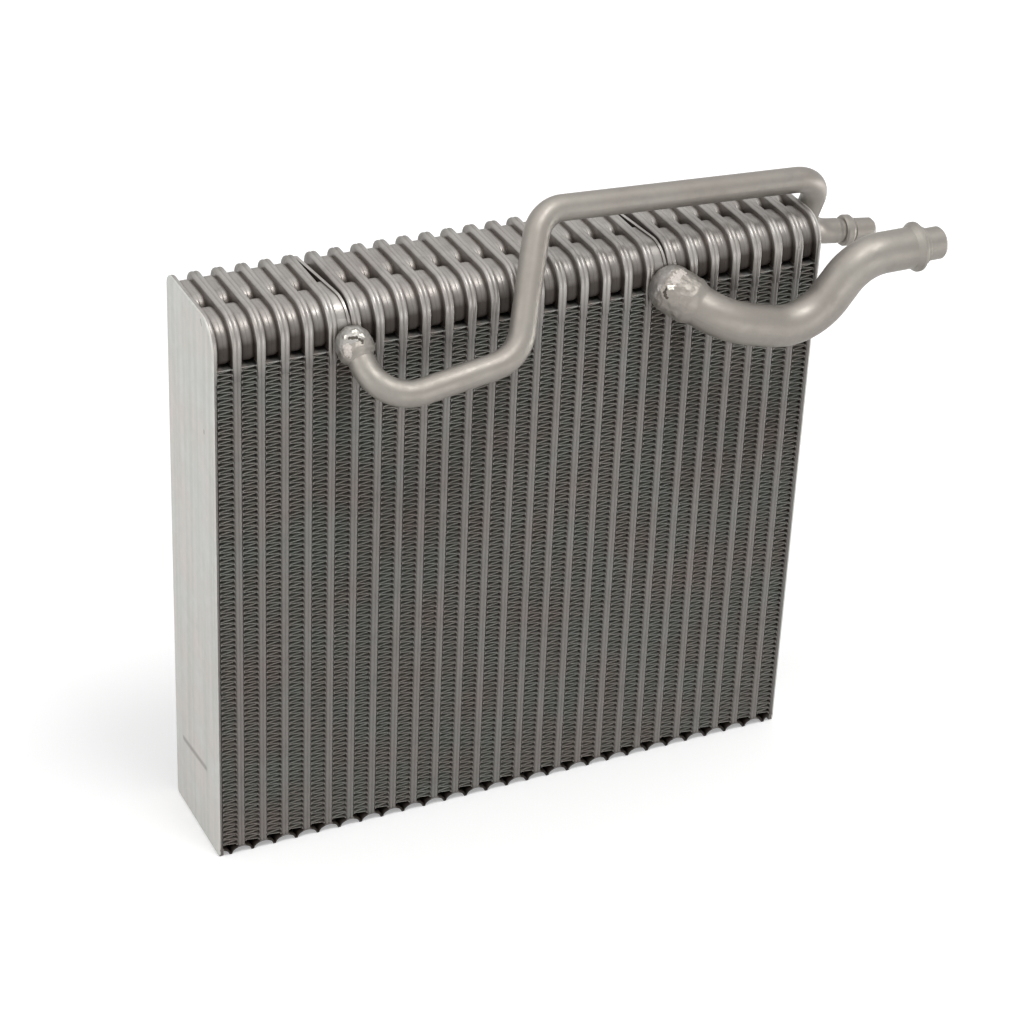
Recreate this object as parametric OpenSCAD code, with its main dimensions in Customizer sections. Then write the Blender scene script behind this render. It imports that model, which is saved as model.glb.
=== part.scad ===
// Evaporator core: a stack of stamped plate pairs with folded fins between them,
// cup-shaped tanks along the top edge, and two bent pipes on boss connectors.
// Millimetres. Z up, Y from the pipe side (front) to the back, X along the stack.

/* [Core] */
// Number of flat tubes, each a pair of stamped plates
tube_count = 26; // [21:1:26]
// Distance from one flat tube to the next
pitch = 10; // [9:0.25:11.5]
// Depth of the core, front face to back face
core_d = 51.5; // [46:0.5:60]
// Height of the core, lip tips to the top of the tube rims
core_h = 254; // [180:2:300]
// Thickness of a flat tube
tube_t = 3.5; // [3:0.1:4]
// Thickness of the flat outer sheet of an end plate
end_sheet = 0.6; // [0.4:0.1:1.2]

/* [Tank rims and cups] */
// Thickness of a tube's rim around the tank cups
rim_t = 4.2; // [3.9:0.1:4.8]
// Height of the rim zone at the top of each tube
rim_zone = 19.5; // [19.5:0.5:26]
// Radius of the rounded top front corners
shoulder_r = 12.5; // [10:0.1:14]
// Radius of the rounded top back corners
back_r = 5; // [4:0.25:8]
// Width and depth of the brazed seam line around a tube's edge
seam = 0.5; // [0.3:0.05:0.7]
// How far a cup's belly stands in from the rim outline
cup_inset = 2.0; // [1.4:0.1:3]
// Extra depth of the groove between rim and belly
groove_d = 0.8; // [0.5:0.1:1.2]
// Width of the groove between rim and belly
groove_w = 1.0; // [0.5:0.1:1.4]
// Width of the slot between the front and rear cups
valley_w = 1.2; // [0.8:0.1:4]
// Radius of the cups' top corners beside that slot
valley_r = 6; // [4:0.25:7]
// Height of a cup, top of the belly to its underside
cup_h = 17; // [15.5:0.1:18]

/* [Lower lips] */
// Height of the arch under each tube, above the lip tips
lip_drop = 2.8; // [2:0.1:3.2]
// Thickness of a lip
lip_t = 0.8; // [0.6:0.1:1]
// Half width of the flat land where two lips meet
lip_land = 0.6; // [0.4:0.1:1]

/* [Fins] */
// Thickness of the folded fin strip
fin_t = 0.45; // [0.3:0.05:0.6]
// Height of one fold of the strip
fold_h = 6; // [5:0.25:8]
// Flat length of each crest, where it is brazed to a tube
crest_w = 1.2; // [0.8:0.1:2]
// How far the fins stand back from the front and back faces
fin_setback = 0.8; // [0.4:0.1:2]
// Gap between the fins and the rims or cups above them
fin_top_gap = 0.5; // [0.3:0.1:4]
// Height of the fins' lower end above the lip tips
fin_foot = 4; // [4:0.25:6]

/* [Connectors] */
// Column with the liquid pipe's connector, counted from the left
liquid_col = 6; // [5:1:7]
// Column with the suction pipe's connector, counted from the left
suction_col = 20; // [18:1:20]
// How far a connector's body stands in from the rim outline
body_inset = 1.3; // [0.8:0.1:2]
// How far the low parts of a connector stand in from the rim outline
pocket_inset = 5; // [3.5:0.25:6]
// Thickness of the upright seam web that crosses a connector
web_t = 1.0; // [0.8:0.1:1.4]
// Wall of the liquid boss around its pipe
liquid_boss_wall = 1.6; // [1.2:0.1:2.2]
// Wall of the suction boss around its pipe
suction_boss_wall = 0.9; // [0.7:0.1:2]
// Radial braze gap between a pipe and its boss
braze_gap = 0.1; // [0.05:0.01:0.2]

/* [Liquid pipe] */
// Outside diameter of the liquid pipe
liquid_od = 11; // [9.5:0.25:12.5]
// Wall of the liquid pipe
liquid_wall = 1.3; // [1:0.1:1.6]
// Outside diameter of the liquid pipe's tip
liquid_tip_od = 10.4; // [9:0.1:11]
// Outside diameter of the liquid pipe's bead
liquid_bead_od = 13.6; // [12:0.1:15]
// Height of the liquid pipe's long run above the tank, at its left end
liquid_run_z = 21.7; // [20:0.5:30]

/* [Suction pipe] */
// Outside diameter of the suction pipe
suction_od = 17.5; // [15:0.25:18.5]
// Wall of the suction pipe
suction_wall = 1.5; // [1.2:0.1:2]
// Outside diameter of the suction pipe's tip
suction_tip_od = 13.8; // [12.5:0.1:15]
// Outside diameter of the suction pipe's bead
suction_bead_od = 21; // [19.5:0.1:23]
// Distance of the suction pipe's axis in front of the core
suction_out = 19.9; // [19:0.5:30]

/* [Hidden] */
tube_nodes = [for (k = [1:tube_count]) str("tube_", k < 10 ? "0" : "", k)];
fin_nodes = [for (k = [1:tube_count + 1]) str("fin_", k < 10 ? "0" : "", k)];
other_nodes = ["left_end_plate", "right_end_plate", "liquid_connector",
               "suction_connector", "liquid_pipe", "suction_pipe"];

half_pitch = pitch / 2;
fin_h = pitch - tube_t;
gap_half = (pitch - rim_t) / 2;
front = -core_d / 2;
back = core_d / 2;
// The frame's X = 0 is the middle of the fourteenth fin column of a full-length core.
mid_col = 14;
function col_x(c) = (c - mid_col) * pitch;
function tube_x(k) = col_x(k) + half_pitch;
x_left = col_x(1) - half_pitch;
x_right = col_x(tube_count + 1) + half_pitch;
x_left_face = x_left - end_sheet;
x_right_face = x_right + end_sheet;
z_rim = core_h - rim_zone;
z_cup_top = core_h - cup_inset;
z_cup_low = z_cup_top - cup_h;
z_fin_top = min(z_cup_low, z_rim) - fin_top_gap;
cup_r = (cup_h - shoulder_r + cup_inset) * 0.7;
rim_low_r = 1.5;
nose = 0.9;
belly_x = rim_t / 2 + groove_w;
joint_line = 0.1;

// Shared shapes.

module along_x(x0, x1) {
    translate([x0, 0, 0]) rotate([90, 0, 90]) linear_extrude(height = x1 - x0) children();
}

module along_y(y0, y1) {
    translate([0, y1, 0]) rotate([90, 0, 0]) linear_extrude(height = y1 - y0) children();
}

// Rectangle with top corner radii ra (low y side) and rb, and bottom corner radius rc.
module rounded(y0, y1, z0, z1, ra, rb, rc) {
    intersection() {
        union() {
            polygon([[y0 + rc, z0], [y1 - rc, z0], [y1, z0 + rc], [y1, z1 - rb],
                     [y1 - rb, z1], [y0 + ra, z1], [y0, z1 - ra], [y0, z0 + rc]]);
            translate([y0 + ra, z1 - ra]) circle(r = ra, $fn = 28);
            translate([y1 - rb, z1 - rb]) circle(r = rb, $fn = 28);
            translate([y0 + rc, z0 + rc]) circle(r = rc, $fn = 16);
            translate([y1 - rc, z0 + rc]) circle(r = rc, $fn = 16);
        }
        translate([y0 - 1, z0]) square([y1 - y0 + 2, z1 - z0 + 1]);
    }
}

module rim_outline(inset) {
    rounded(front + inset, back - inset, z_rim, core_h - inset,
            shoulder_r - inset, back_r - inset / 2, rim_low_r);
}

module cup_pair_outline(extra) {
    inset = cup_inset + extra;
    z0 = z_cup_low + extra;
    z1 = z_cup_top - extra;
    rounded(front + inset, -valley_w / 2 - extra, z0, z1,
            shoulder_r - inset, valley_r - extra, cup_r - extra);
    rounded(valley_w / 2 + extra, back - inset, z0, z1,
            valley_r - extra, back_r - extra, cup_r - extra);
}

// Half of a flat tube's plan: chamfered noses and the seam line.
module half_plan() {
    polygon([[0, front + seam], [seam / 2, front + seam], [seam / 2, front],
             [tube_t / 2 - nose, front], [tube_t / 2, front + nose],
             [tube_t / 2, back - nose], [tube_t / 2 - nose, back],
             [seam / 2, back], [seam / 2, back - seam], [0, back - seam]]);
}

// Half of the arched lip under a tube, from the tube's middle to the column's middle.
module half_lip() {
    w = half_pitch - lip_land;
    n = 6;
    low = [for (i = [0:n]) let (a = i * 90 / n) [w * sin(a), lip_drop * cos(a)]];
    top_w = w + lip_land / 2;
    top = [for (i = [n:-1:1]) let (a = i * 90 / n)
           [top_w * sin(a), lip_t + lip_drop * cos(a)]];
    polygon(concat(low, [[half_pitch, 0], [half_pitch, lip_t]], top,
                   [[0, lip_drop + lip_t]]));
}

// One stamped plate: half the tube, half the rim, half the lip, and its two cups.
module stamped_plate(cups) {
    translate([0, 0, lip_drop])
        linear_extrude(height = core_h - rim_zone / 2 - lip_drop) half_plan();
    along_x(0, seam / 2) rim_outline(seam);
    along_x(seam / 2, rim_t / 2) rim_outline(0);
    along_y(front, back) half_lip();
    if (cups) {
        along_x(rim_t / 2, half_pitch) cup_pair_outline(groove_d);
        along_x(belly_x, half_pitch - joint_line) cup_pair_outline(0);
    }
}

module tube(k) {
    color([0.62, 0.61, 0.59]) translate([tube_x(k), 0, 0]) {
        stamped_plate(k + 1 != liquid_col && k + 1 != suction_col);
        mirror([1, 0, 0]) stamped_plate(k != liquid_col && k != suction_col);
    }
}

// End plate: a flat outer sheet on a last stamped plate half.
module end_plate() {
    stamped_plate(true);
    along_x(-end_sheet, 0)
        rounded(front, back, 0, core_h, shoulder_r, back_r, rim_low_r);
    along_x(0, tube_t / 2) polygon([[front, 0], [back, 0], [back, lip_drop], [front, lip_drop]]);
}

module left_end_plate() {
    color([0.66, 0.67, 0.65]) translate([x_left, 0, 0]) end_plate();
}

module right_end_plate() {
    color([0.66, 0.67, 0.65]) translate([x_right, 0, 0]) mirror([1, 0, 0]) end_plate();
}

// Folded fins.

fin_w = fin_h / 2;
fin_z = z_fin_top - fin_foot;
folds = floor(fin_z / fold_h);
fold = (fin_z - crest_w) / folds;
slope_x = 2 * fin_w - fin_t;
half_dx = fin_t / 2 * sqrt(slope_x * slope_x + (fold - crest_w) * (fold - crest_w)) / (fold - crest_w);
function crest_z(i) = fin_foot + crest_w / 2 + i * fold;
function crest_side(i) = i % 2 == 0 ? 1 : -1;
function right_pt(i) = crest_side(i) > 0
    ? [[fin_w, crest_z(i) - crest_w / 2], [fin_w, crest_z(i) + crest_w / 2]]
    : [[-fin_w + 2 * half_dx, crest_z(i)]];
function left_pt(i) = crest_side(i) < 0
    ? [[-fin_w, crest_z(i) + crest_w / 2], [-fin_w, crest_z(i) - crest_w / 2]]
    : [[fin_w - 2 * half_dx, crest_z(i)]];

module fin(c) {
    right = [for (i = [0:folds]) each right_pt(i)];
    left = [for (i = [folds:-1:0]) each left_pt(i)];
    color([0.42, 0.41, 0.38]) translate([col_x(c), 0, 0])
        along_y(front + fin_setback, back - fin_setback) polygon(concat(right, left));
}

// Pipes: vertices, bend radii, and the frames of each straight and bend.

function unit(v) = v / norm(v);
function bend_angle(p, i) = let (a = unit(p[i] - p[i - 1]), b = unit(p[i + 1] - p[i]))
    acos(max(-1, min(1, a * b)));
function tangent_len(p, r, i) = i <= 0 || i >= len(p) - 1 ? 0 : r[i] * tan(bend_angle(p, i) / 2);
function frame_of(x, y, z, o) = [[x[0], y[0], z[0], o[0]], [x[1], y[1], z[1], o[1]],
                                 [x[2], y[2], z[2], o[2]], [0, 0, 0, 1]];
function side_of(a) = unit(cross(a, abs(a[2]) < 0.9 ? [0, 0, 1] : [0, 1, 0]));

module aligned(o, a) {
    s = side_of(a);
    multmatrix(frame_of(s, cross(a, s), a, o)) children();
}

// Straights are a hair thinner than the bends and run a little way into them,
// so that each joint is a plain overlap inside the wall.
lap = 0.5;
hair = 0.02;
function lap_at(p, i) = i <= 0 ? 0 : lap;

module wall_ring(od, wall, thin) {
    difference() {
        circle(d = od - 2 * thin, $fn = 28);
        circle(d = od - 2 * wall + 2 * thin, $fn = 28);
    }
}

module pipe_run(p, r, od, wall, cut) {
    for (i = [0:len(p) - 2]) {
        a = unit(p[i + 1] - p[i]);
        s0 = tangent_len(p, r, i) - lap_at(p, i);
        s1 = norm(p[i + 1] - p[i]) - tangent_len(p, r, i + 1) + lap - (i == len(p) - 2 ? cut : 0);
        aligned(p[i] + a * s0, a) linear_extrude(height = s1 - s0) wall_ring(od, wall, hair);
    }
    for (i = [1:len(p) - 2]) {
        a = unit(p[i] - p[i - 1]);
        n = unit(cross(a, unit(p[i + 1] - p[i])));
        u = cross(n, a);
        centre = p[i] - a * tangent_len(p, r, i) + u * r[i];
        multmatrix(frame_of(-u, a, n, centre))
            rotate_extrude(angle = bend_angle(p, i), $fn = 56)
                translate([r[i], 0]) wall_ring(od, wall, 0);
    }
}

// Liquid pipe: up out of its connector, along the front, over the tank, down behind it.
liquid_r = liquid_od / 2;
liquid_dir = unit([0.134, -0.763, -0.632]);
liquid_boss = [col_x(liquid_col) + 2, front - 3.75, core_h - 16.3];
liquid_seat = 1.2;
liquid_reach = 2.6;
liquid_front_y = front - 23;
liquid_low_z = core_h - 33.4;
liquid_tip_x = x_right_face + 44.8;
liquid_stub_z = core_h - 22.6;
liquid_p0 = liquid_boss + liquid_dir * liquid_seat;
liquid_p = [liquid_p0,
            liquid_p0 + liquid_dir * 26.1,
            [col_x(liquid_col) + 65.4, front - 21.55, core_h - 25.7],
            [col_x(liquid_col) + 87, -16.9, core_h + liquid_run_z],
            [x_right_face + 8.8, -6.4, core_h + liquid_run_z - 12.2],
            [x_right_face + 8.8, 7.9, liquid_stub_z],
            [liquid_tip_x, 6, liquid_stub_z - 4]];
liquid_bends = [0, 18, 18, 15, 15, 15, 0];
liquid_end = 19;

// Suction pipe: out of its connector, along the front, rising to its stub.
suction_dir = unit([0.650, -0.645, -0.402]);
suction_boss = [col_x(suction_col) + 3.46, front - 3.55, core_h - 17.9];
suction_seat = 5.8;
suction_reach = 2.6;
suction_stub_l = 39.4;
suction_y = front - suction_out;
suction_tip_x = x_right_face + 45.3;
suction_top_z = core_h - 9.2;
suction_p0 = suction_boss + suction_dir * suction_seat;
suction_lead = (suction_p0[1] - suction_y) / -suction_dir[1];
suction_p1 = suction_p0 + suction_dir * suction_lead;
suction_p = [suction_p0, suction_p1,
             [suction_p1[0] + 39, suction_y, suction_p1[2] - 10.5],
             [suction_tip_x - suction_stub_l, suction_y, suction_top_z],
             [suction_tip_x, suction_y, suction_top_z]];
suction_bends = [0, 30, 26, 24, 0];
suction_end = 16.5;

module liquid_pipe() {
    n = len(liquid_p) - 1;
    a = unit(liquid_p[n] - liquid_p[n - 1]);
    b = liquid_bead_od / 2;
    t = liquid_tip_od / 2;
    bore = liquid_r - liquid_wall;
    tip_bore = t - liquid_wall;
    color([0.68, 0.67, 0.64]) {
        pipe_run(liquid_p, liquid_bends, liquid_od, liquid_wall, liquid_end);
        aligned(liquid_p[n] - a * liquid_end, a) rotate_extrude($fn = 40)
            polygon([[bore, 0], [liquid_r, 0], [liquid_r, 1], [t, 2.5], [t, 3.8],
                     [b - 0.6, 3.9], [b, 4.8], [b, 7.2], [b - 0.6, 8.1], [t, 8.2],
                     [t, 8.9], [t - 0.35, 9.2], [t, 9.6], [t, liquid_end - 1.2],
                     [t - 0.9, liquid_end], [tip_bore, liquid_end], [tip_bore, 2.5],
                     [bore, 1]]);
    }
}

module suction_pipe() {
    n = len(suction_p) - 1;
    a = unit(suction_p[n] - suction_p[n - 1]);
    r = suction_od / 2;
    b = suction_bead_od / 2;
    t = suction_tip_od / 2;
    bore = r - suction_wall;
    tip_bore = t - suction_wall;
    color([0.68, 0.67, 0.64]) {
        pipe_run(suction_p, suction_bends, suction_od, suction_wall, suction_end);
        aligned(suction_p[n] - a * suction_end, a) rotate_extrude($fn = 40)
            polygon([[bore, 0], [r, 0], [r, 1], [b - 0.5, 3], [b, 3.6], [b, 4.6],
                     [b - 0.6, 5.2], [r - 0.6, 5.4], [r - 0.6, 7.6], [r - 0.9, 7.9],
                     [t, 7.9], [t, suction_end - 1],
                     [t - 0.8, suction_end], [tip_bore, suction_end],
                     [tip_bore, 6.5], [bore, 5]]);
    }
}

// Connectors: the filled column with its seam web, and the boss in front.

module plan_prism(points) {
    translate([0, 0, z_rim]) linear_extrude(height = rim_zone) polygon(points);
}

module column_body() {
    along_x(-gap_half, gap_half) rounded(front + 0.6, back - 0.6, z_rim + 1.5,
        core_h - pocket_inset, shoulder_r - pocket_inset, back_r, rim_low_r);
    intersection() {
        along_x(-gap_half, gap_half) rim_outline(body_inset);
        plan_prism([[-gap_half, front], [gap_half - 1.4, front], [0, -2], [-gap_half, -2]]);
    }
    intersection() {
        along_x(-gap_half, gap_half) rim_outline(body_inset / 2);
        plan_prism([[-gap_half, back], [-gap_half, back - 6], [gap_half - web_t - 0.4, front],
                    [gap_half - 0.4, front], [-gap_half + web_t, back]]);
    }
}

dome_over = 0.15;

module boss(centre, dir, seat, od, wall, reach) {
    r = od / 2 + wall + braze_gap;
    difference() {
        union() {
            translate(centre) sphere(r = r + dome_over, $fn = 32);
            aligned(centre, dir) cylinder(r = r, h = seat + reach + 1, $fn = 32);
        }
        aligned(centre + dir * seat, dir)
            cylinder(d = od + 2 * braze_gap, h = 2 * r, $fn = 28);
        aligned(centre + dir * (seat + reach), dir) cylinder(r = r + 1, h = 2 * r, $fn = 28);
        translate([centre[0] - 2 * r, front, centre[2] - 2 * r]) cube([4 * r, 4 * r, 4 * r]);
    }
}

module liquid_connector() {
    color([0.64, 0.63, 0.6]) {
        translate([col_x(liquid_col), 0, 0]) column_body();
        boss(liquid_boss, liquid_dir, liquid_seat, liquid_od, liquid_boss_wall, liquid_reach);
        translate([col_x(liquid_col) - gap_half, front, liquid_boss[2] - 1.5])
            cube([2 * gap_half, 1, 6]);
    }
}

module suction_connector() {
    color([0.64, 0.63, 0.6]) {
        translate([col_x(suction_col), 0, 0]) column_body();
        boss(suction_boss, suction_dir, suction_seat, suction_od, suction_boss_wall,
             suction_reach);
        translate([col_x(suction_col) - gap_half, front, suction_boss[2] - 1.5])
            cube([2 * gap_half, 1, 6]);
    }
}

for (k = [1:tube_count]) tube(k);
for (k = [1:tube_count + 1]) fin(k);
left_end_plate();
right_end_plate();
liquid_connector();
suction_connector();
liquid_pipe();
suction_pipe();
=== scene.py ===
"""Evaporator core: smooth plates, cups, folded fins and bent pipes around the CAD frame."""
import math
import random

import bmesh
import bpy
from mathutils import Matrix, Vector, noise


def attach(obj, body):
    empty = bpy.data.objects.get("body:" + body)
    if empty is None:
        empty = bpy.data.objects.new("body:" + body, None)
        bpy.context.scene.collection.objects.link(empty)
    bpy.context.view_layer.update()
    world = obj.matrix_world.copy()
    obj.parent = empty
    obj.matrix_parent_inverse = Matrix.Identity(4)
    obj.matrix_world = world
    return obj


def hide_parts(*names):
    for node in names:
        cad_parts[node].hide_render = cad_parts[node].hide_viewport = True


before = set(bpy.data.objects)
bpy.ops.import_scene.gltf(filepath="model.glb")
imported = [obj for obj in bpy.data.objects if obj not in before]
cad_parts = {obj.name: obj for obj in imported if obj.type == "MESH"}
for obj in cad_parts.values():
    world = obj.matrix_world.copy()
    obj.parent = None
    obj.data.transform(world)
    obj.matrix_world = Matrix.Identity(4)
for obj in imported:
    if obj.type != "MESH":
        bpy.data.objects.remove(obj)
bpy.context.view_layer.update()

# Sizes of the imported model, in metres. X runs across the core, Y from front to back, Z up.
MM = 0.001
PITCH = 10 * MM
HALF_PITCH = PITCH / 2
TUBES = 26
MID_COLUMN = 14
FRONT = -25.75 * MM
BACK = 25.75 * MM
TOP = 254 * MM
TUBE_T = 3.5 * MM
RIM_LOW = 234.5 * MM
RIM_FADE = 7 * MM
PROUD = 0.04 * MM
SHOULDER = 12.5 * MM
BACK_R = 5 * MM
CUP_INSET = 2.0 * MM
CUP_TOP = TOP - CUP_INSET
CUP_LOW = CUP_TOP - 17 * MM
CUP_R = 3.2 * MM
VALLEY = 1.2 * MM
VALLEY_R = 6 * MM
FIN_TOP = RIM_LOW - 0.5 * MM
FIN_FOOT = 4 * MM
FIN_H = PITCH - TUBE_T
FIN_SETBACK = 0.8 * MM
LIP_DROP = 2.8 * MM
LIP_T = 0.8 * MM
LIP_LAND = 0.6 * MM
TOUCH = 0.02 * MM
LIQUID_COLUMN = 6
SUCTION_COLUMN = 20


def column_x(column):
    return (column - MID_COLUMN) * PITCH


def tube_x(tube):
    return column_x(tube) + HALF_PITCH


LEFT_X = column_x(1) - HALF_PITCH
RIGHT_X = column_x(TUBES + 1) + HALF_PITCH


# Mesh helpers.

def arc(cy, cz, r, a0, a1, n):
    """Points of a circular arc in the Y-Z plane, both ends included."""
    step = (a1 - a0) / n
    return [(cy + r * math.cos(a0 + step * i), cz + r * math.sin(a0 + step * i)) for i in range(n + 1)]


def outline(y0, y1, z0, z1, top_front, top_back, low, n=8):
    """A rectangle with rounded corners, counterclockwise from its low front corner."""
    q = math.pi / 2
    points = arc(y0 + low, z0 + low, low, 2 * q, 3 * q, n)
    points += arc(y1 - low, z0 + low, low, 3 * q, 4 * q, n)
    points += arc(y1 - top_back, z1 - top_back, top_back, 0, q, n)
    points += arc(y0 + top_front, z1 - top_front, top_front, q, 2 * q, n)
    return points


def loft(bm, rings, cap_start=True, cap_end=True):
    """Skins a list of equal rings of points, and closes the ends."""
    rows = [[bm.verts.new(p) for p in ring] for ring in rings]
    n = len(rows[0])
    for a, b in zip(rows, rows[1:]):
        for i in range(n):
            j = (i + 1) % n
            bm.faces.new((a[i], a[j], b[j], b[i]))
    if cap_start:
        bm.faces.new(list(reversed(rows[0])))
    if cap_end:
        bm.faces.new(rows[-1])
    return rows


def ring_at(x, points):
    return [(x, y, z) for y, z in points]


def piece(name, bm, material, sharp=35):
    """Turns a bmesh into a smooth object that rides on the one body."""
    bmesh.ops.recalc_face_normals(bm, faces=bm.faces)
    mesh = bpy.data.meshes.new(name)
    bm.to_mesh(mesh)
    bm.free()
    mesh.shade_smooth()
    mesh.set_sharp_from_angle(angle=math.radians(sharp))
    obj = bpy.data.objects.new(name, mesh)
    bpy.context.scene.collection.objects.link(obj)
    mesh.materials.append(material)
    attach(obj, "root")
    return obj


# Materials.

class Nodes:
    """A short way to write a node tree."""

    def __init__(self, name):
        self.material = bpy.data.materials.new(name)
        self.material.use_nodes = True
        self.tree = self.material.node_tree
        self.bsdf = self.tree.nodes["Principled BSDF"]
        self.coords = self.tree.nodes.new("ShaderNodeTexCoord").outputs["Object"]

    def new(self, kind, **values):
        node = self.tree.nodes.new(kind)
        for key, value in values.items():
            setattr(node, key, value)
        return node

    def link(self, a, b):
        self.tree.links.new(a, b)

    def put(self, socket, value):
        if hasattr(value, "is_linked") or hasattr(value, "links"):
            self.link(value, socket)
        else:
            socket.default_value = value

    def stretched(self, scale):
        node = self.new("ShaderNodeMapping")
        self.link(self.coords, node.inputs["Vector"])
        node.inputs["Scale"].default_value = scale
        return node.outputs["Vector"]

    def noise(self, scale, detail=4, rough=0.55, vector=None):
        node = self.new("ShaderNodeTexNoise")
        self.link(vector or self.coords, node.inputs["Vector"])
        node.inputs["Scale"].default_value = scale
        node.inputs["Detail"].default_value = detail
        node.inputs["Roughness"].default_value = rough
        return node.outputs["Fac"]

    def ramp(self, fac, low, high, a=0.0, b=1.0):
        node = self.new("ShaderNodeMapRange")
        self.put(node.inputs["Value"], fac)
        node.inputs["From Min"].default_value = low
        node.inputs["From Max"].default_value = high
        node.inputs["To Min"].default_value = a
        node.inputs["To Max"].default_value = b
        return node.outputs["Result"]

    def mix(self, fac, a, b, mode="MIX"):
        node = self.new("ShaderNodeMix", data_type="RGBA", blend_type=mode)
        self.put(node.inputs[0], fac)
        self.put(node.inputs[6], a)
        self.put(node.inputs[7], b)
        return node.outputs[2]

    def math(self, operation, *values):
        node = self.new("ShaderNodeMath", operation=operation)
        for socket, value in zip(node.inputs, values):
            self.put(socket, value)
        return node.outputs[0]

    def bump(self, height, strength, distance, normal=None):
        node = self.new("ShaderNodeBump")
        node.inputs["Strength"].default_value = strength
        node.inputs["Distance"].default_value = distance
        self.link(height, node.inputs["Height"])
        if normal:
            self.link(normal, node.inputs["Normal"])
        return node.outputs["Normal"]

    def vector_math(self, operation, a, b):
        node = self.new("ShaderNodeVectorMath", operation=operation)
        self.put(node.inputs[0], a)
        self.put(node.inputs[1], b)
        return node

    def near_segment(self, start, end, width):
        """0.8 on the line from start to end, fading to 0 at the given distance from it."""
        along = end - start
        offset = self.vector_math("SUBTRACT", self.coords, start).outputs[0]
        reach = self.vector_math("DOT_PRODUCT", offset, along / along.length_squared).outputs["Value"]
        inside = self.ramp(reach, 0.0, 1.0)
        foot = self.new("ShaderNodeVectorMath", operation="SCALE")
        foot.inputs[0].default_value = along
        self.link(inside, foot.inputs["Scale"])
        gap = self.vector_math("DISTANCE", offset, foot.outputs[0]).outputs["Value"]
        return self.ramp(gap, 0.3 * width, width, 0.8, 0.0)

    def occlusion(self, distance):
        node = self.new("ShaderNodeAmbientOcclusion", samples=4)
        node.inputs["Distance"].default_value = distance
        return node.outputs["AO"]


def rgb(r, g, b):
    return (r, g, b, 1.0)


def aluminium(name, base, warm, dark, rough, metallic=0.8, ao=0.006, ao_floor=(0.35, 0.33, 0.31),
              stain=0.55, low_z=None, low_tint=0.5):
    """Dull brazed aluminium: patchy tint, fine grain, and painted shade in the corners.

    With low_z, the cups get painted shade, tinted brown, below that band of heights, with less metal and
    gloss there. The rims' feet darken, and the rims' backs get a painted dark reflection.
    """
    m = Nodes(name)
    patches = m.ramp(m.noise(38, 5), 0.38, 0.66)
    color = m.mix(patches, rgb(*base), rgb(*warm))
    stains = m.ramp(m.noise(120, 6, 0.65), 0.50, 0.74)
    color = m.mix(m.math("MULTIPLY", stains, stain), color, rgb(*dark))
    if low_z:
        place = m.new("ShaderNodeSeparateXYZ")
        m.link(m.coords, place.inputs[0])
        on_rim = m.ramp(m.math("PINGPONG", place.outputs["X"], HALF_PITCH), 2.6 * MM, 3.2 * MM)
        # Painted shade: below the low_z band, the cups' fronts turn darker and brown and lose metal and
        # gloss. The rims are left out.
        shade = m.ramp(m.math("MAXIMUM", place.outputs["Z"], m.math("MULTIPLY", on_rim, TOP)), *low_z)
        foot = m.ramp(place.outputs["Z"], RIM_LOW - RIM_FADE, RIM_LOW + 8.5 * MM, 0.48, 1.0)
        color = m.mix(1.0, color, m.mix(foot, rgb(0, 0, 0), rgb(1, 1, 1)), "MULTIPLY")
        # Painted dark reflection: the rims' back ends darken towards the back.
        rear = m.ramp(place.outputs["Y"], 17 * MM, 25 * MM, 1.0, 0.0)
        color = m.mix(1.0, color, m.mix(rear, rgb(0.5, 0.5, 0.47), rgb(1, 1, 1)), "MULTIPLY")
        painted_shade_tint = [low_tint, low_tint * 0.92, low_tint * 0.86]
        color = m.mix(1.0, color, m.mix(shade, rgb(*painted_shade_tint), rgb(1, 1, 1)), "MULTIPLY")
        m.link(m.ramp(shade, 0.0, 1.0, 0.0, metallic), m.bsdf.inputs["Metallic"])
        m.link(m.ramp(shade, 0.0, 1.0, 0.08, 0.5), m.bsdf.inputs["Specular IOR Level"])
    # Painted shade: the colour falls towards ao_floor where ambient occlusion finds nearby surfaces, in
    # corners and gaps.
    if ao:
        shade = m.ramp(m.occlusion(ao), 0.15, 0.95)
        color = m.mix(1.0, color, m.mix(shade, rgb(*ao_floor), rgb(1, 1, 1)), "MULTIPLY")
    m.color = color
    m.link(color, m.bsdf.inputs["Base Color"])
    m.bsdf.inputs["Metallic"].default_value = metallic
    rough_map = m.ramp(m.noise(210, 4), 0.3, 0.7, rough - 0.07, rough + 0.10)
    m.link(rough_map, m.bsdf.inputs["Roughness"])
    coarse = m.bump(m.noise(160, 3), 0.25, 0.4 * MM)
    fine = m.bump(m.noise(1400, 3), 0.24, 0.06 * MM, coarse)
    m.link(fine, m.bsdf.inputs["Normal"])
    return m


def plate_material():
    """The end plates' sheet: upright rolling streaks, warm patches and a few rubbed marks."""
    m = aluminium("end_plate_metal", (0.53, 0.532, 0.51), (0.55, 0.512, 0.485), (0.475, 0.475, 0.452), 0.58,
                  metallic=0.6, ao=0, stain=0.4)
    streaks = m.ramp(m.noise(260, 3, 0.5, m.stretched((1, 1, 0.03))), 0.42, 0.62, 0, 0.5)
    color = m.mix(streaks, m.color, rgb(0.43, 0.447, 0.413))
    for start, end, width, tint in PLATE_MARKS:
        color = m.mix(m.near_segment(start, end, width), color, rgb(*tint))
    m.link(color, m.bsdf.inputs["Base Color"])
    return m


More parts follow.
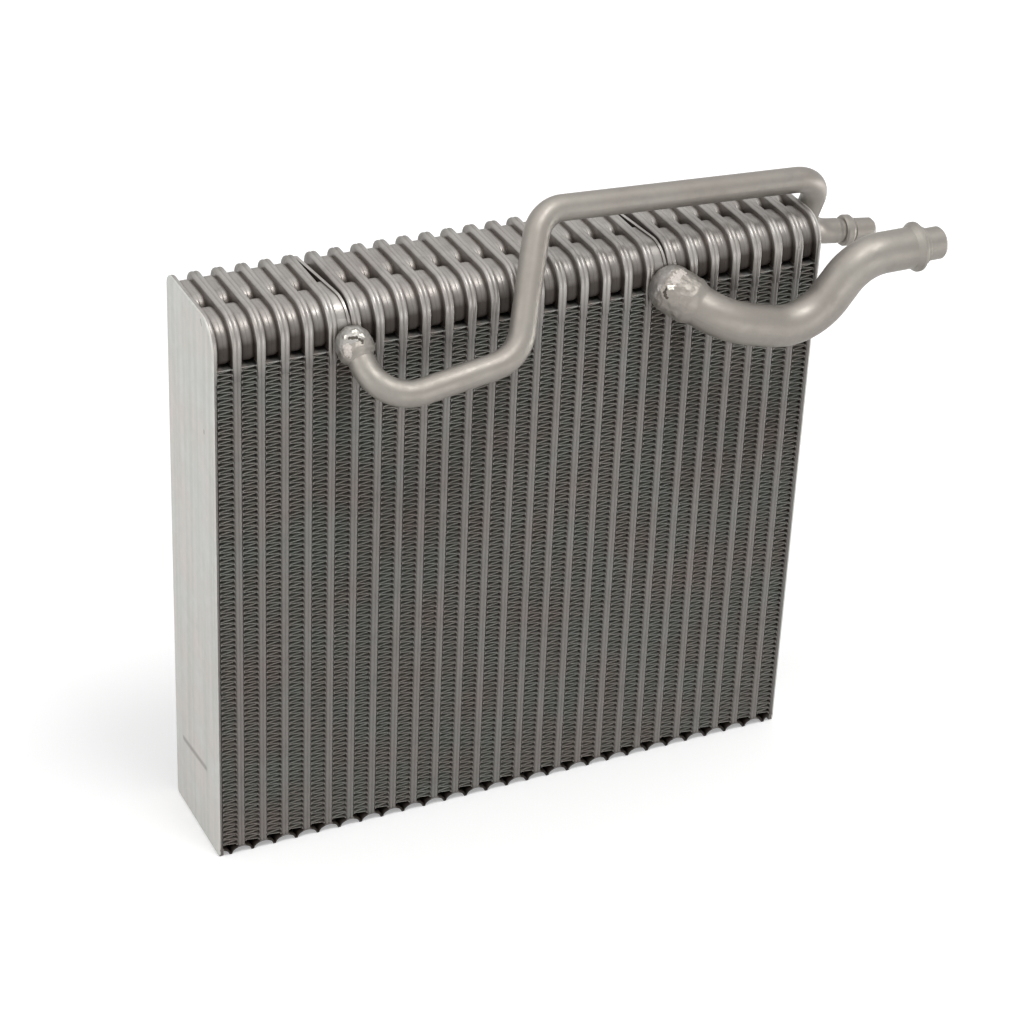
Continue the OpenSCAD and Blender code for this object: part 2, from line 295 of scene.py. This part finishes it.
def fin_material():
    """Fin strip: dark between its crests, paler where the crests are brazed to the tubes."""
    m = aluminium("fin_metal", (0.30, 0.31, 0.28), (0.32, 0.28, 0.25), (0.18, 0.19, 0.16), 0.6,
                  metallic=0.3, ao=0)
    parts = m.new("ShaderNodeSeparateXYZ")
    m.link(m.coords, parts.inputs[0])
    across = m.math("PINGPONG", m.math("ADD", parts.outputs["X"], HALF_PITCH), HALF_PITCH)
    edge = m.ramp(across, TUBE_T / 2, TUBE_T / 2 + 0.9 * MM, 1.0, 0.0)
    color = m.mix(edge, m.color, rgb(0.37, 0.365, 0.34))
    m.link(color, m.bsdf.inputs["Base Color"])
    return m


def speckled(name, color, rough, metallic=0.0):
    """One colour with a fine speckle, for the small marks in the braze."""
    m = Nodes(name)
    tint = m.ramp(m.noise(900, 3), 0.35, 0.65, 0.8, 1.1)
    shade = m.new("ShaderNodeCombineColor")
    for socket in shade.inputs[:3]:
        m.link(tint, socket)
    m.link(m.mix(1.0, rgb(*color), shade.outputs[0], "MULTIPLY"), m.bsdf.inputs["Base Color"])
    m.bsdf.inputs["Roughness"].default_value = rough
    m.bsdf.inputs["Metallic"].default_value = metallic
    return m


PIPE_TINT = (0.265, 0.248, 0.222)


def make_materials():
    # low_z and low_tint paint shade on the cups' lower fronts. Each ao_floor is the colour of the painted
    # shade in corners and gaps.
    tube = aluminium("tube_metal", (0.335, 0.319, 0.30), (0.295, 0.272, 0.254), (0.175, 0.161, 0.148), 0.39,
                     metallic=0.6, ao=0.006, ao_floor=(0.46, 0.40, 0.365), low_z=(0.2425, 0.2500),
                     low_tint=0.27)
    pipe = aluminium("pipe_metal", PIPE_TINT, (0.25, 0.228, 0.205), (0.215, 0.20, 0.18), 0.50,
                     metallic=0.8, ao=0)
    nose = aluminium("tube_nose_metal", (0.185, 0.18, 0.168), (0.19, 0.168, 0.155), (0.13, 0.125, 0.115),
                     0.6, metallic=0.25, ao=0.003, ao_floor=(0.5, 0.42, 0.38))
    connector = aluminium("connector_metal", (0.37, 0.352, 0.33), (0.32, 0.298, 0.28), (0.19, 0.176, 0.163),
                          0.36, metallic=0.6, ao=0.006, ao_floor=(0.2, 0.17, 0.15))
    braze = aluminium("braze_metal", (0.31, 0.30, 0.28), (0.28, 0.26, 0.245), (0.18, 0.17, 0.16), 0.46,
                      metallic=0.6, ao=0.004)
    cap = aluminium("fin_cap_metal", (0.28, 0.285, 0.27), (0.25, 0.24, 0.225), (0.14, 0.14, 0.125), 0.5,
                    metallic=0.5, ao=0.006, ao_floor=(0.1, 0.09, 0.08))
    # The cap's strong AO darkening is painted shade of the dark gap under the cups. The left part of each
    # cap gets a flat, lighter brown without that shade, standing in for the light that reaches it.
    parts = cap.new("ShaderNodeSeparateXYZ")
    cap.link(cap.coords, parts.inputs[0])
    across = cap.math("FRACT", cap.math("MULTIPLY_ADD", parts.outputs["X"], 1 / PITCH, 0.5))
    color = cap.mix(cap.ramp(across, 0.38, 0.50), rgb(0.22, 0.195, 0.175), cap.color)
    cap.link(color, cap.bsdf.inputs["Base Color"])
    # Braze beads, partly real lumps and partly painted highlight: their near-white colour stands in for the
    # shine on the bosses' lit tops.
    bead = speckled("braze_bead_and_glint", (0.80, 0.77, 0.69), 0.25, 0.7)
    flux = speckled("braze_flux", (0.56, 0.51, 0.47), 0.6)
    # Painted shadow: a near-black colour where a shadowed crack at the pipe's root would be.
    gap = speckled("braze_gap", (0.05, 0.04, 0.03), 0.7)
    made = (tube, nose, pipe, connector, fin_material(), cap, plate_material(), braze, bead, flux, gap)
    return [m.material for m in made]


def on_plate(y, z):
    """A place on the outside of the left end plate, given in millimetres."""
    return Vector((-135.6, y, z)) * MM


# Marks on the left end plate: from, to, half width, colour.
PLATE_MARKS = (
    (on_plate(15.5, 34.9), on_plate(-11.7, 37.3), 1.8 * MM, (0.27, 0.255, 0.24)),
    (on_plate(-14.0, 251.7), on_plate(-15.0, 250.0), 0.8 * MM, (0.25, 0.24, 0.22)),
    (on_plate(-15.9, 203.6), on_plate(-15.9, 202.6), 0.9 * MM, (0.25, 0.24, 0.22)),
)

(TUBE_METAL, NOSE_METAL, PIPE_METAL, CONNECTOR_METAL, FIN_METAL, CAP_METAL, PLATE_METAL,
 BRAZE_METAL, BEAD_AND_GLINT_METAL, FLUX, GAP_SHADOW) = make_materials()


# Flat tubes, rims, cups and lips.
# A profile pairs the distance from the tube's middle with how far its outline is drawn in, in millimetres.

SEAM_PROFILE = ((0.0, 0.26), (0.12, 0.22), (0.32, 0.07), (0.6, 0.0))
SLAB_PROFILE = SEAM_PROFILE + ((0.85, 0.02), (1.2, 0.22), (1.5, 0.55), (1.7, 0.95), (1.75, 1.4))
SHEET_PROFILE = ((-0.6, 1.3), (-0.55, 0.75), (-0.42, 0.35), (-0.2, 0.08), (0.0, 0.0), (0.3, 0.0),
                 (0.4, 0.12))
RIM_PROFILE = SEAM_PROFILE + ((1.0, 0.0), (1.35, 0.06), (1.65, 0.2), (1.9, 0.42), (2.05, 0.68),
                              (2.1, 1.0))
CUP_PROFILE = ((2.0, 0.6), (2.2, 0.62), (2.45, 0.55), (2.75, 0.33), (3.1, 0.15), (3.5, 0.05),
               (4.0, 0.0), (4.6, 0.0), (4.93, 0.01), (5.0, 0.05))


def both_sides(profile):
    return [(-x, inset) for x, inset in reversed(profile[1:])] + list(profile)


def slab_outline(inset):
    return outline(FRONT + inset, BACK - inset, LIP_DROP, RIM_LOW + 2 * MM, 1 * MM, 1 * MM, 0.3 * MM, 6)


def rim_outline(inset, x=0.0):
    """The rim fades into the flat tube below it: its outer layers, x in millimetres, end higher up."""
    fade = max(0.0, abs(x) - 1.4) / 0.7
    low = RIM_LOW - RIM_FADE + 13 * MM * fade
    inset -= PROUD
    return outline(FRONT + inset, BACK - inset, low, TOP - inset,
                   SHOULDER - inset, BACK_R - inset / 2, 1.0 * MM, 12)


def cup_outline(extra, rear):
    inset = CUP_INSET + extra
    near, far = FRONT + inset, -VALLEY / 2 - extra
    outer, inner, low = SHOULDER - inset, VALLEY_R - extra, CUP_R - extra
    if rear:
        return outline(-far, -near, CUP_LOW + extra, CUP_TOP - extra, inner, BACK_R - extra, low, 10)
    return outline(near, far, CUP_LOW + extra, CUP_TOP - extra, outer, inner, low, 10)


def lip_rows(steps=12):
    """Underside and top of the arched lip, from the tube's middle to the column's middle."""
    reach = HALF_PITCH - LIP_LAND
    rows = []
    for i in range(steps + 1):
        a = math.radians(90) * i / steps
        x = reach * math.sin(a)
        rows.append((x, LIP_DROP * math.cos(a)))
    rows.append((HALF_PITCH - TOUCH, 0.0))
    rows.append((HALF_PITCH - TOUCH, LIP_T))
    for i in range(steps, -1, -1):
        a = math.radians(90) * i / steps
        rows.append(((reach + LIP_LAND / 2) * math.sin(a), LIP_T + LIP_DROP * math.cos(a)))
    return rows


def add_lip(bm, x0, side):
    rows = lip_rows()
    loft(bm, [[(x0 + side * x, y, z) for x, z in rows] for y in (FRONT, BACK)])


def add_cups(bm, x0, side):
    for rear in (False, True):
        loft(bm, [ring_at(x0 + side * x * MM, cup_outline(extra * MM, rear)) for x, extra in CUP_PROFILE],
             cap_start=False)


def add_half(bm, x0, side, cups=True):
    """What one stamped plate adds to one side of a tube: a half lip and its cups."""
    add_lip(bm, x0, side)
    if cups:
        add_cups(bm, x0, side)


def make_tube(number):
    x0 = tube_x(number)
    bm = bmesh.new()
    loft(bm, [ring_at(x0 + x * MM, slab_outline(inset * MM)) for x, inset in both_sides(SLAB_PROFILE)])
    for face in bm.faces:
        face.material_index = 1
    loft(bm, [ring_at(x0 + x * MM, rim_outline(inset * MM, x)) for x, inset in both_sides(RIM_PROFILE)])
    connector_columns = (LIQUID_COLUMN, SUCTION_COLUMN)
    add_half(bm, x0, 1, number + 1 not in connector_columns)
    add_half(bm, x0, -1, number not in connector_columns)
    name = "tube_%02d" % number
    tube = piece("plates_%02d" % number, bm, TUBE_METAL)
    tube.data.materials.append(NOSE_METAL)
    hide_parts(name)


def make_end_plate(side, name, label):
    """The flat outer sheet with a soft edge, and the half plate behind it."""
    x0 = LEFT_X if side > 0 else RIGHT_X
    bm = bmesh.new()
    loft(bm, [ring_at(x0 + side * x * MM, outline(
        FRONT + i * MM, BACK - i * MM, i * MM, TOP - i * MM,
        SHOULDER - i * MM, BACK_R - i * MM, 1.5 * MM, 12)) for x, i in SHEET_PROFILE])
    sheet_faces = len(bm.faces)
    loft(bm, [ring_at(x0 + side * x * MM, slab_outline(inset * MM)) for x, inset in SLAB_PROFILE])
    loft(bm, [ring_at(x0 + side * x * MM, rim_outline(inset * MM, x)) for x, inset in RIM_PROFILE])
    foot = outline(FRONT + 0.2 * MM, BACK - 0.2 * MM, 0, LIP_DROP + LIP_T, 0.3 * MM, 0.3 * MM, 0.3 * MM, 3)
    loft(bm, [ring_at(x0, foot), ring_at(x0 + side * 1.5 * MM, foot), ring_at(x0 + side * 1.7 * MM, foot)])
    add_half(bm, x0, side)
    bm.faces.ensure_lookup_table()
    for face in bm.faces[sheet_faces:]:
        face.material_index = 1
    plate = piece(label, bm, PLATE_METAL)
    plate.data.materials.append(TUBE_METAL)
    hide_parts(name)


# Folded fins.

FOLD = 1.3 * MM
FIN_THICK = 0.14 * MM
CREST = 0.27 * MM
CREST_DROP = 0.16 * MM
# The points of one crest: their height as a share of CREST, and how far they stay off the tube.
CREST_ARC = ((-1.0, CREST_DROP), (-0.5, TOUCH), (0.5, TOUCH), (1.0, CREST_DROP))
WOBBLE = 0.036 * MM


def fin_path():
    """The strip's middle line in X-Z: straight legs joined by small round crests."""
    legs = int((FIN_TOP - FIN_FOOT) / FOLD)
    step = (FIN_TOP - FIN_FOOT) / legs
    half = FIN_H / 2 - FIN_THICK / 2
    points = []
    for i in range(legs + 1):
        side = 1 if i % 2 == 0 else -1
        z = FIN_FOOT + i * step
        for share, drop in CREST_ARC:
            height = min(max(z + share * CREST, FIN_FOOT), FIN_TOP)
            points.append((side * (half - drop), height))
    return points


def offset_path(points, distance):
    out = []
    for i, (x, z) in enumerate(points):
        a = points[max(i - 1, 0)]
        b = points[min(i + 1, len(points) - 1)]
        t = Vector((b[0] - a[0], b[1] - a[1]))
        t = t.normalized() if t.length > 1e-9 else Vector((0, 1))
        out.append((x - t.y * distance, z + t.x * distance))
    return out


def add_fillet(bm, wall, side, y, z):
    """A small braze fillet where a crest of the strip meets the tube's nose."""
    near = bm.verts.new((wall - side * 0.8 * MM, y + 0.1 * MM, z))
    top = bm.verts.new((wall, y, z + 0.6 * MM))
    low = bm.verts.new((wall, y, z - 0.6 * MM))
    deep = bm.verts.new((wall, y + 1.2 * MM, z))
    for face in ((near, top, low), (near, low, deep), (near, deep, top), (top, deep, low)):
        bm.faces.new(face).material_index = 2


def make_fin(column, rng):
    x0 = column_x(column)
    path = fin_path()
    right = offset_path(path, -FIN_THICK / 2)
    left = offset_path(path, FIN_THICK / 2)
    bm = bmesh.new()
    half = FIN_H / 2
    y0, y1 = FRONT + FIN_SETBACK, BACK - FIN_SETBACK
    rows = []
    for i in range(len(path)):
        wobble = rng.uniform(-WOBBLE, WOBBLE)
        row = []
        for (x, z), y in ((right[i], y0), (right[i], y1), (left[i], y1), (left[i], y0)):
            z = min(max(z + wobble, FIN_FOOT), FIN_TOP)
            row.append((x0 + max(-half, min(half, x)), y, z))
        rows.append(row)
    loft(bm, rows)
    arc_points = len(CREST_ARC)
    for i in range(len(path) // arc_points):
        side = 1 if i % 2 == 0 else -1
        z = sum(path[arc_points * i + j][1] for j in range(arc_points)) / arc_points
        add_fillet(bm, x0 + side * half, side, y0 - 0.45 * MM, z)
    cap_start = len(bm.faces)
    cap = outline(y0, y1, FIN_TOP - 0.5 * MM, FIN_TOP, 0.2 * MM, 0.2 * MM, 0.2 * MM, 2)
    loft(bm, [ring_at(x0 - half, cap), ring_at(x0 + half, cap)])
    bm.faces.ensure_lookup_table()
    for face in bm.faces[cap_start:]:
        face.material_index = 1
    fin = piece("folded_fin_%02d" % column, bm, FIN_METAL, sharp=50)
    fin.data.materials.append(CAP_METAL)
    fin.data.materials.append(NOSE_METAL)
    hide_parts("fin_%02d" % column)


# Braze around the pipes' roots.

# Kind of mark, its place in the list of materials, and how far it spreads.
# The gap marks are painted shadow. They only colour the skin and cut nothing into it.
MARK_SLOTS = (("flux", 3, 2.0 * MM), ("bead", 2, 1.0 * MM), ("gap", 4, 0.8 * MM))
SKIN_T = 0.22 * MM
DOME_STEPS = 80
BARREL_STEPS = 24
FILLET_STEPS = 10
AROUND = 300


def spot(place, points, width):
    """How near a place is to any of the points: 1 on one, falling off over the width."""
    return max(math.exp(-((place - p).length / width) ** 2) for p in points)


def make_braze(name, centre, axis, boss_r, pipe_r, end, marks):
    """A lumpy skin over a boss, with a fillet from its mouth down to the pipe.

    The marks are places on the boss; past marks["from"] along the axis, the skin looks like the pipe.
    """
    axis = axis.normalized()
    side = axis.cross(Vector((0, 0, 1))).normalized()
    up = side.cross(axis)
    skin = boss_r + SKIN_T
    first = math.radians(4)
    turn = math.pi / 2 - first
    angles = [first + turn * i / DOME_STEPS for i in range(DOME_STEPS + 1)]
    profile = [(-skin * math.cos(a), skin * math.sin(a)) for a in angles]
    profile += [(end * i / BARREL_STEPS, skin) for i in range(1, BARREL_STEPS + 1)]
    rim = skin - pipe_r
    run = 0.55 * pipe_r
    for i in range(1, FILLET_STEPS + 1):
        share = i / FILLET_STEPS
        drop = 0.5 + 0.5 * math.cos(math.pi * share)
        profile.append((end + run * share, pipe_r + 0.01 * MM + rim * drop))
    bm = bmesh.new()
    rings = []
    for h, r in profile:
        ring = []
        for i in range(AROUND):
            a = 2 * math.pi * i / AROUND
            out = side * math.cos(a) + up * math.sin(a)
            p = centre + axis * h + out * r
            normal = (p - centre).normalized() if h < 0 else out
            lump = 0.3 * MM * (noise.noise(p * 420) + 0.4) + 0.1 * MM * noise.noise(p * 1300)
            lump = max(0.0, lump) * min(1.0, (end + run - h) / (4 * MM))
            lump += 0.6 * MM * spot(p, marks["bead"], 0.9 * MM)
            p = p + normal * lump
            p.y = min(p.y, FRONT + 0.5 * MM)
            ring.append(p)
        rings.append(ring)
    loft(bm, rings)
    bm.faces.ensure_lookup_table()
    for face in bm.faces:
        middle = face.calc_center_median()
        face.material_index = 1 if (middle - centre).dot(axis) > marks["from"] else 0
        for key, index, width in MARK_SLOTS:
            if spot(middle, marks[key], width) > 0.45 + 0.4 * noise.noise(middle * 1100):
                face.material_index = index
    braze = piece(name, bm, BRAZE_METAL, sharp=80)
    for material in (PIPE_METAL, BEAD_AND_GLINT_METAL, FLUX, GAP_SHADOW):
        braze.data.materials.append(material)


def on_boss(centre, r, *directions):
    """Places at the distance r from a boss's centre, in the given directions."""
    return [centre + Vector(d).normalized() * r for d in directions]


LIQUID_BOSS = Vector((column_x(LIQUID_COLUMN) + 2 * MM, FRONT - 3.75 * MM, TOP - 16.3 * MM))
SUCTION_BOSS = Vector((column_x(SUCTION_COLUMN) + 3.46 * MM, FRONT - 3.55 * MM, TOP - 17.9 * MM))
LIQUID_AXIS = Vector((0.134, -0.763, -0.632))
SUCTION_AXIS = Vector((0.650, -0.645, -0.402))
LIQUID_MARK_R = 7.6 * MM
SUCTION_MARK_R = 10.1 * MM
# Each "gap" list places painted shadow. The "bead" lists raise braze lumps whose bright colour is partly a
# painted highlight.
LIQUID_MARKS = {
    "bead": on_boss(LIQUID_BOSS, LIQUID_MARK_R, (-0.62, -0.33, 0.71), (-0.16, -0.31, 0.94),
                    (0.0, -0.30, 0.95), (0.2, -0.57, 0.79), (0.24, -0.62, 0.75)),
    "flux": on_boss(LIQUID_BOSS, LIQUID_MARK_R, (-0.60, -0.80, 0.06), (-0.62, -0.68, 0.25)),
    "gap": on_boss(LIQUID_BOSS, LIQUID_MARK_R, (-0.45, -0.52, 0.72), (-0.36, -0.57, 0.74),
                   (-0.245, -0.593, 0.767), (-0.12, -0.66, 0.74), (0.0, -0.74, 0.67),
                   (0.09, -0.81, 0.58), (0.08, -0.88, 0.47), (0.024, -0.928, 0.371)),
    "from": 1.5 * MM,
}
SUCTION_MARKS = {
    "bead": on_boss(SUCTION_BOSS, SUCTION_MARK_R, (-0.55, -0.66, 0.51), (-0.50, -0.70, 0.52),
                    (-0.44, -0.73, 0.51)),
    "flux": on_boss(SUCTION_BOSS, SUCTION_MARK_R, (0.2, -0.35, 0.92), (0.05, -0.38, 0.924),
                    (-0.1, -0.50, 0.86), (-0.24, -0.62, 0.745)),
    "gap": on_boss(SUCTION_BOSS, SUCTION_MARK_R, (-0.72, -0.62, 0.30), (-0.70, -0.68, 0.20),
                   (-0.66, -0.74, 0.10), (-0.66, -0.62, 0.42)),
    "from": -4 * MM,
}

# Build every piece, then dress the CAD parts that stay in view.

rng = random.Random(7)
for number in range(1, TUBES + 1):
    make_tube(number)
for column in range(1, TUBES + 2):
    make_fin(column, rng)
make_end_plate(1, "left_end_plate", "left_cover")
make_end_plate(-1, "right_end_plate", "right_cover")
make_braze("liquid_braze", LIQUID_BOSS, LIQUID_AXIS,
           boss_r=7.2 * MM, pipe_r=5.5 * MM, end=3.8 * MM, marks=LIQUID_MARKS)
make_braze("suction_braze", SUCTION_BOSS, SUCTION_AXIS,
           boss_r=9.75 * MM, pipe_r=8.75 * MM, end=8.4 * MM, marks=SUCTION_MARKS)

for name, material in (("liquid_connector", CONNECTOR_METAL), ("suction_connector", CONNECTOR_METAL),
                       ("liquid_pipe", PIPE_METAL), ("suction_pipe", PIPE_METAL)):
    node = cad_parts[name]
    node.data.materials.clear()
    node.data.materials.append(material)


# Camera: position, direction and lens fitted to the photograph.

PHOTO_SIZE = 1024
FOCAL_PX = 3016.0
OPTICAL_CENTRE = (518.7, 526.8)
EYE = Vector((-0.48729, -0.99049, 0.79414))
CAMERA_RIGHT = Vector((0.90278, -0.42819, 0.04048))
CAMERA_DOWN = Vector((-0.19226, -0.48595, -0.85258))
CAMERA_AHEAD = Vector((0.38473, 0.76191, -0.52103))


def make_camera():
    data = bpy.data.cameras.new("camera")
    data.sensor_width = 36.0
    data.lens = FOCAL_PX / PHOTO_SIZE * data.sensor_width
    half = PHOTO_SIZE / 2
    data.shift_x = (half - OPTICAL_CENTRE[0]) / PHOTO_SIZE
    data.shift_y = (OPTICAL_CENTRE[1] - half) / PHOTO_SIZE
    data.clip_start = 0.05
    data.clip_end = 20
    camera = bpy.data.objects.new("camera", data)
    bpy.context.scene.collection.objects.link(camera)
    basis = Matrix((CAMERA_RIGHT, -CAMERA_DOWN, -CAMERA_AHEAD)).transposed()
    camera.matrix_world = Matrix.Translation(EYE) @ basis.to_4x4()
    bpy.context.scene.camera = camera


def area_light(name, where, target, size, power):
    data = bpy.data.lights.new(name, "AREA")
    data.shape = "RECTANGLE"
    data.size, data.size_y = size
    data.energy = power
    light = bpy.data.objects.new(name, data)
    bpy.context.scene.collection.objects.link(light)
    light.location = where
    light.rotation_euler = (Vector(target) - Vector(where)).to_track_quat("-Z", "Y").to_euler()


def seen_directly(tree):
    """1 for the rays that look at a thing: from the camera, in a reflection or through glass."""
    path = tree.nodes.new("ShaderNodeLightPath")
    total = path.outputs["Is Camera Ray"]
    for name in ("Is Glossy Ray", "Is Transmission Ray"):
        node = tree.nodes.new("ShaderNodeMath")
        node.operation = "MAXIMUM"
        tree.links.new(total, node.inputs[0])
        tree.links.new(path.outputs[name], node.inputs[1])
        total = node.outputs[0]
    return total


def make_world(level):
    world = bpy.data.worlds.new("studio")
    bpy.context.scene.world = world
    world.use_nodes = True
    tree = world.node_tree
    background = tree.nodes["Background"]
    strength = tree.nodes.new("ShaderNodeMapRange")
    tree.links.new(seen_directly(tree), strength.inputs["Value"])
    strength.inputs["To Min"].default_value = level
    strength.inputs["To Max"].default_value = 1.0
    background.inputs["Color"].default_value = rgb(1, 1, 1)
    tree.links.new(strength.outputs["Result"], background.inputs["Strength"])


def make_floor():
    """A pale floor: white to the eye away from the object's soft shadow."""
    bm = bmesh.new()
    reach = 3.0
    square = ((-1, -1), (1, -1), (1, 1), (-1, 1))
    bm.faces.new([bm.verts.new((x * reach, y * reach, -0.2 * MM)) for x, y in square])
    mesh = bpy.data.meshes.new("floor")
    bm.to_mesh(mesh)
    bm.free()
    floor = bpy.data.objects.new("floor", mesh)
    bpy.context.scene.collection.objects.link(floor)
    m = Nodes("floor_white")
    m.bsdf.inputs["Base Color"].default_value = rgb(0.8, 0.8, 0.8)
    m.bsdf.inputs["Roughness"].default_value = 0.9
    m.bsdf.inputs["Emission Color"].default_value = rgb(1, 1, 1)
    distance = m.new("ShaderNodeVectorMath", operation="LENGTH")
    m.link(m.coords, distance.inputs[0])
    glow = m.ramp(distance.outputs["Value"], 0.25, 1.1, 0.3, 0.8)
    m.link(m.math("MULTIPLY", seen_directly(m.tree), glow), m.bsdf.inputs["Emission Strength"])
    mesh.materials.append(m.material)


make_camera()
make_world(0.30)
make_floor()
area_light("overhead", (-0.1, 0.2, 1.5), (0, 0, 0.1), (1.8, 1.4), 8)
area_light("key", (0.15, -0.4, 1.35), (0, 0, 0.22), (0.5, 0.35), 7)
area_light("left", (-1.3, -0.3, 0.7), (-0.1, 0, 0.12), (0.9, 0.9), 6.5)
area_light("fill", (0.2, -1.4, 0.15), (0, 0, 0.15), (1.2, 0.6), 6)
area_light("low_right", (0.9, -0.2, 0.05), (0.14, 0, 0.23), (0.3, 0.3), 3.5)
bpy.context.scene.view_settings.view_transform = "Standard"
